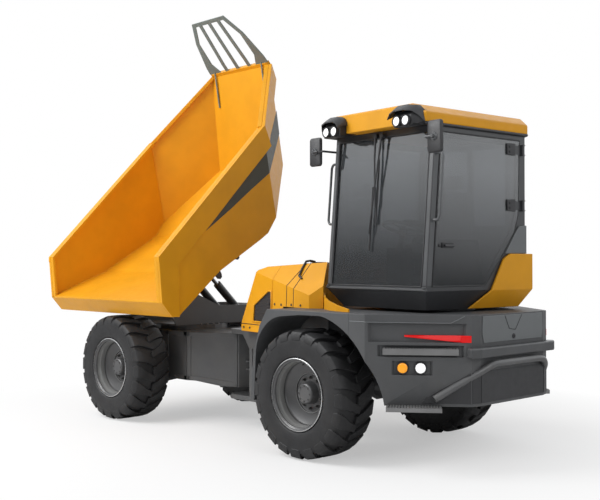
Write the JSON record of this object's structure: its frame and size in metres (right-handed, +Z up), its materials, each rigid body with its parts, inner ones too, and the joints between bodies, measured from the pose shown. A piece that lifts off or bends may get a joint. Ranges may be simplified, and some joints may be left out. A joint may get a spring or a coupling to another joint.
{
  "type": "rotating dumper",
  "caption": "Articulated dumper on four wheels with a skip that swivels and tips, a cab that turns on the rear half, a hinged door and a rock guard.",
  "frame": {"origin": "on the floor under the middle of the whole machine at rest", "axes": "+X forward along the machine, +Y to its left, +Z up"},
  "size_m": [5.751, 2.463, 4.7486],
  "materials": {
    "yellow_paint": "semi-gloss orange-yellow",
    "chassis_grey": "satin dark grey paint",
    "cover_grey": "textured dark grey moulding",
    "guard_grey": "satin grey-green paint",
    "tyre_rubber": "matt rubber",
    "rim_paint": "satin dark grey paint with bright flange",
    "cab_dark": "satin black-grey paint",
    "tinted_glass": "tinted glazing",
    "black_plastic": "fine black plastic",
    "seat_cloth": "woven seat cloth",
    "red_lens": "red lens",
    "amber_lens": "amber lens",
    "white_lens": "clear white lens",
    "step_grating": "grey grating",
    "cylinder_steel": "dark barrel",
    "rod_chrome": "ground rod",
    "engine_iron": "cast"
  },
  "bodies": {
    "rear": {"rear_frame": "chassis_grey", "rear_axle": "chassis_grey", "deck": "chassis_grey", "rear_fenders": "cover_grey", "rear_cover": "cover_grey", "rear_steps": "step_grating", "tail_strips": "red_lens", "turn_lamps": "amber_lens", "marker_lamps": "white_lens", "bumper_bar": "chassis_grey", "tube_guard": "chassis_grey", "hood_front": "yellow_paint", "hood_rear": "yellow_paint", "hood_grilles": "black_plastic", "engine_block": "engine_iron", "slew_ring": "chassis_grey", "steer_barrels": "cylinder_steel"},
    "steer_rod_left": {"steer_rod_left": "rod_chrome"},
    "steer_rod_right": {"steer_rod_right": "rod_chrome"},
    "front": {"front_frame": "chassis_grey", "front_axle": "chassis_grey"},
    "carrier": {"turntable": "chassis_grey"},
    "tip_barrels": {"tip_barrels": "cylinder_steel"},
    "tip_rods": {"tip_rods": "rod_chrome"},
    "skip": {"skip": "yellow_paint", "rock_guard": "guard_grey"},
    "cab": {"cab_base": "cab_dark", "cab_frame": "cab_dark", "cab_roof": "yellow_paint", "cab_glass": "tinted_glass", "cab_cowl": "yellow_paint", "lamp_pods": "black_plastic", "work_lamps": "white_lens", "mirrors": "black_plastic", "grab_rails": "cab_dark", "seat": "seat_cloth", "steering_console": "black_plastic"},
    "door": {"door": "cab_dark", "door_glass": "tinted_glass"},
    "wheel_rear_left": {"tyre_rear_left": "tyre_rubber", "rim_rear_left": "rim_paint"},
    "wheel_rear_right": {"tyre_rear_right": "tyre_rubber", "rim_rear_right": "rim_paint"},
    "wheel_front_left": {"tyre_front_left": "tyre_rubber", "rim_front_left": "rim_paint"},
    "wheel_front_right": {"tyre_front_right": "tyre_rubber", "rim_front_right": "rim_paint"}
  },
  "joints": [
    {"name": "steer", "type": "hinge", "parent": "rear", "child": "front", "pos_m": [0.33547, -0.05649, 0.69954], "axis": [0, 0, 1], "range_deg": [-33, 33]},
    {"name": "steer_rod_left_slide", "type": "slide", "parent": "rear", "child": "steer_rod_left", "axis": [1, 0, 0], "range_m": [-0.125, 0.125]},
    {"name": "steer_rod_right_slide", "type": "slide", "parent": "rear", "child": "steer_rod_right", "axis": [1, 0, 0], "range_m": [-0.125, 0.125]},
    {"name": "swivel", "type": "hinge", "parent": "front", "child": "carrier", "pos_m": [1.75047, -0.05649, 0.99954], "axis": [0, 0, 1], "range_deg": [-180, 0]},
    {"name": "tip", "type": "hinge", "parent": "carrier", "child": "skip", "pos_m": [1.75047, 0.56351, 1.44954], "axis": [-1, 0, 0], "range_deg": [-45.5, 0]},
    {"name": "tip_barrels_swing", "type": "hinge", "parent": "carrier", "child": "tip_barrels", "pos_m": [1.75047, -0.67649, 1.12954], "axis": [-1, 0, 0], "range_deg": [0, 27.5]},
    {"name": "tip_rods_slide", "type": "slide", "parent": "tip_barrels", "child": "tip_rods", "axis": [0, 0.721, 0.6929], "range_m": [-0.36, 0]},
    {"name": "cab_turn", "type": "hinge", "parent": "rear", "child": "cab", "pos_m": [-1.88453, -0.05649, 1.36154], "axis": [0, 0, 1], "range_deg": [-85, 95]},
    {"name": "cab_door", "type": "hinge", "parent": "cab", "child": "door", "pos_m": [-2.58155, -0.54259, 2.49954], "axis": [0, 0, 1], "range_deg": [0, 90]},
    {"name": "wheel_rear_left_spin", "type": "hinge", "parent": "rear", "child": "wheel_rear_left", "pos_m": [-1.28453, 0.89351, 0.58454], "axis": [0, 1, 0], "continuous": true},
    {"name": "wheel_rear_right_spin", "type": "hinge", "parent": "rear", "child": "wheel_rear_right", "pos_m": [-1.28453, -1.00649, 0.58454], "axis": [0, 1, 0], "continuous": true},
    {"name": "wheel_front_left_spin", "type": "hinge", "parent": "front", "child": "wheel_front_left", "pos_m": [1.75047, 0.89351, 0.58454], "axis": [0, 1, 0], "continuous": true},
    {"name": "wheel_front_right_spin", "type": "hinge", "parent": "front", "child": "wheel_front_right", "pos_m": [1.75047, -1.00649, 0.58454], "axis": [0, 1, 0], "continuous": true}
  ],
  "couplings": [
    {"joint": "steer_rod_left_slide", "follows": "steer", "m_per_rad": -0.17967},
    {"joint": "steer_rod_right_slide", "follows": "steer", "m_per_rad": 0.17967},
    {"joint": "tip_barrels_swing", "follows": "tip", "ratio": -0.58378},
    {"joint": "tip_rods_slide", "follows": "tip", "m_per_rad": 0.42799}
  ]
}
